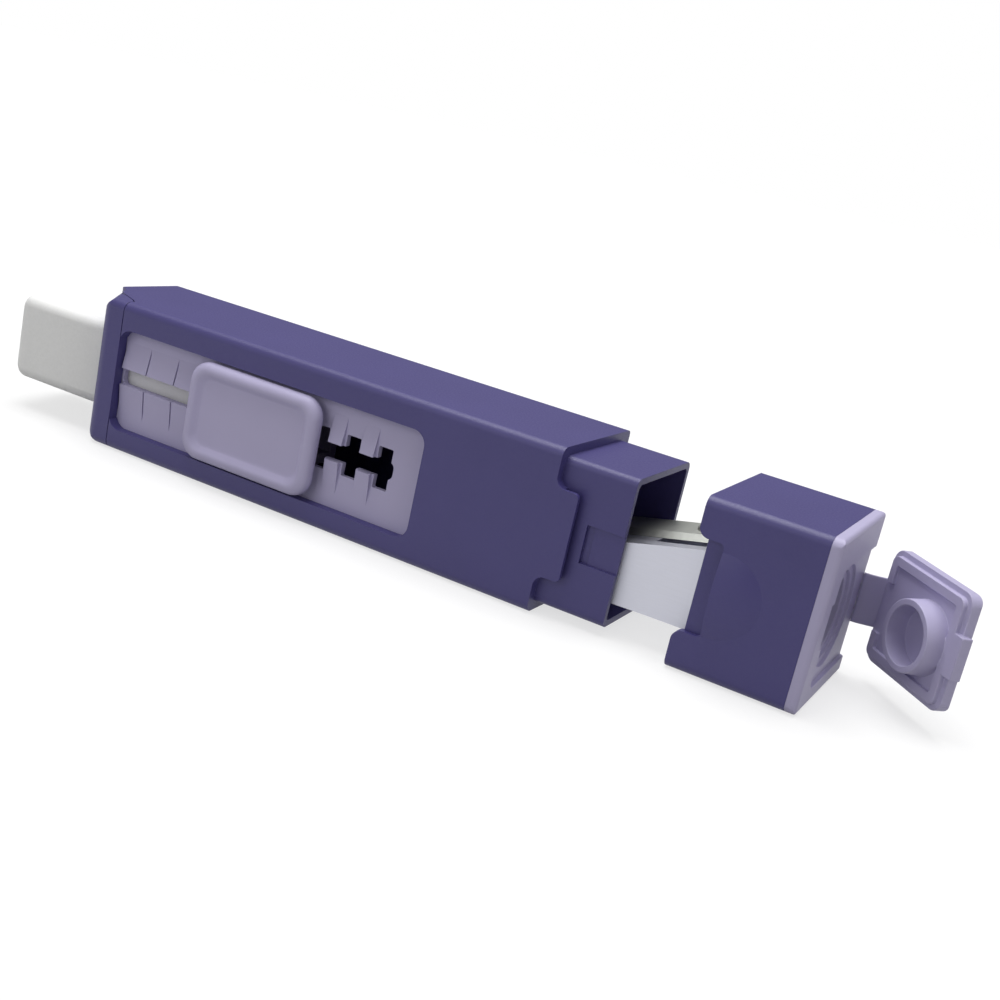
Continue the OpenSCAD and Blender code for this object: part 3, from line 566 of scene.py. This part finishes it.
shape = bmesh.new()
loops = loft(shape, [strap_ring(i) for i in range(len(strap_path_mm))])
shape.faces.new(list(reversed(loops[0])))
shape.faces.new(loops[-1])
bmesh.ops.recalc_face_normals(shape, faces=shape.faces)
strap = into_scene("lid_strap", shape, pp_pale)
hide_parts("hinge_strap")
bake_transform(strap)
print("strap points:", len(strap.data.vertices))

# %% [markdown]
# ## The floor
#
# The photograph stands on plain white, but a white floor would throw so much light up
# that the front of the stick would be as bright as its top. So the paper is a mid grey
# to every other surface, and it has a white glow that only the camera, reflections and
# glass see. Near the stick the glow is weaker, so that the soft shadow shows, and it
# grows outward until the paper is white.

# %% Floor of white paper
floor_radius = 3.0
floor_gap_mm = 0.05
glow_from_m, glow_to_m = 0.12, 0.6
glow_near, glow_far = 0.68, 0.95
fibre_mm = 30
paper, tree, place = new_material("white_paper_sweep")
rays = add(tree, "ShaderNodeLightPath")
seen = add(tree, "ShaderNodeMath", {"operation": "MAXIMUM"},
           {0: rays.outputs["Is Camera Ray"], 1: rays.outputs["Is Glossy Ray"]})
seen_too = add(tree, "ShaderNodeMath", {"operation": "MAXIMUM"},
               {0: seen.outputs["Value"], 1: rays.outputs["Is Transmission Ray"]})
reach = add(tree, "ShaderNodeVectorMath", {"operation": "LENGTH"}, {0: place})
far = add(tree, "ShaderNodeMapRange",
          {"From Min": glow_from_m, "From Max": glow_to_m, "To Min": glow_near, "To Max": glow_far},
          {"Value": reach.outputs["Value"]})
glow = add(tree, "ShaderNodeMath", {"operation": "MULTIPLY"},
           {0: seen_too.outputs["Value"], 1: far.outputs["Result"]})
fibre = add(tree, "ShaderNodeTexNoise", {"Scale": per_metre(fibre_mm), "Detail": 2.0}, {"Vector": place})
tone = add(tree, "ShaderNodeMixRGB", {"Color1": linear("#979797"), "Color2": linear("#9B9B9B")},
           {"Fac": fibre.outputs["Fac"]})
shader = add(tree, "ShaderNodeBsdfPrincipled",
             {"Roughness": 0.9, "Specular IOR Level": 0.1, "Emission Color": (1.0, 1.0, 1.0, 1.0)},
             {"Base Color": tone.outputs["Color"], "Emission Strength": glow.outputs["Value"]})
add(tree, "ShaderNodeOutputMaterial", links={"Surface": shader.outputs["BSDF"]})
shape = bmesh.new()
bmesh.ops.create_circle(shape, cap_ends=True, radius=floor_radius, segments=96)
floor = into_scene("studio_floor", shape, paper)
floor.location.z = -floor_gap_mm * MM
print("floor radius in m:", floor_radius)

# %% [markdown]
# ## The world
#
# The world fills the shadows with an even light. The camera sees it as plain white, but
# the object gets only a quarter of that, so that the lamps still shape it.

# %% World
sky_on_object, sky_seen = 0.25, 1.0
world = bpy.data.worlds.new("studio_world")
world.use_nodes = True
tree = world.node_tree
tree.nodes.clear()
rays = add(tree, "ShaderNodeLightPath")
seen = add(tree, "ShaderNodeMath", {"operation": "MAXIMUM"},
           {0: rays.outputs["Is Camera Ray"], 1: rays.outputs["Is Transmission Ray"]})
level = add(tree, "ShaderNodeMapRange", {"To Min": sky_on_object, "To Max": sky_seen},
            {"Value": seen.outputs["Value"]})
sky = add(tree, "ShaderNodeBackground", {"Color": (1.0, 1.0, 1.0, 1.0)},
          {"Strength": level.outputs["Result"]})
add(tree, "ShaderNodeOutputWorld", links={"Surface": sky.outputs["Background"]})
bpy.context.scene.world = world
print("light of the world on the object:", sky_on_object)

# %% [markdown]
# ## The lamps
#
# Three wide lamps stand in for softboxes, because a small lamp would draw hard shadows.
# The one above is strongest, so the top is brighter than the front. A low one in front
# brings out the metal, and a weak one on the right keeps the end of the cap readable.

# %% Lamps
def soft_lamp(name, place_mm, aim_mm, size_mm, watts):
    lamp = bpy.data.lights.new(name, "AREA")
    lamp.shape = "RECTANGLE"
    lamp.size = size_mm[0] * MM
    lamp.size_y = size_mm[1] * MM
    lamp.energy = watts
    holder = bpy.data.objects.new(name, lamp)
    spot = Vector(place_mm) * MM
    facing = (spot - Vector(aim_mm) * MM).to_track_quat("Z", "Y").to_matrix().to_4x4()
    holder.matrix_world = Matrix.Translation(spot) @ facing
    bpy.context.collection.objects.link(holder)


soft_lamp("top_softbox", (-60, 40, 520), (0, 0, 0), size_mm=(500, 400), watts=3.15)
soft_lamp("front_softbox", (-150, -520, 260), (0, 0, 10), size_mm=(420, 300), watts=0.62)
soft_lamp("right_softbox", (520, -160, 200), (50, 0, 10), size_mm=(300, 300), watts=0.35)
scene = bpy.context.scene
scene.view_settings.view_transform = "Standard"

# %% [markdown]
# ## The end
#

# %% The end
print("end of the scene")
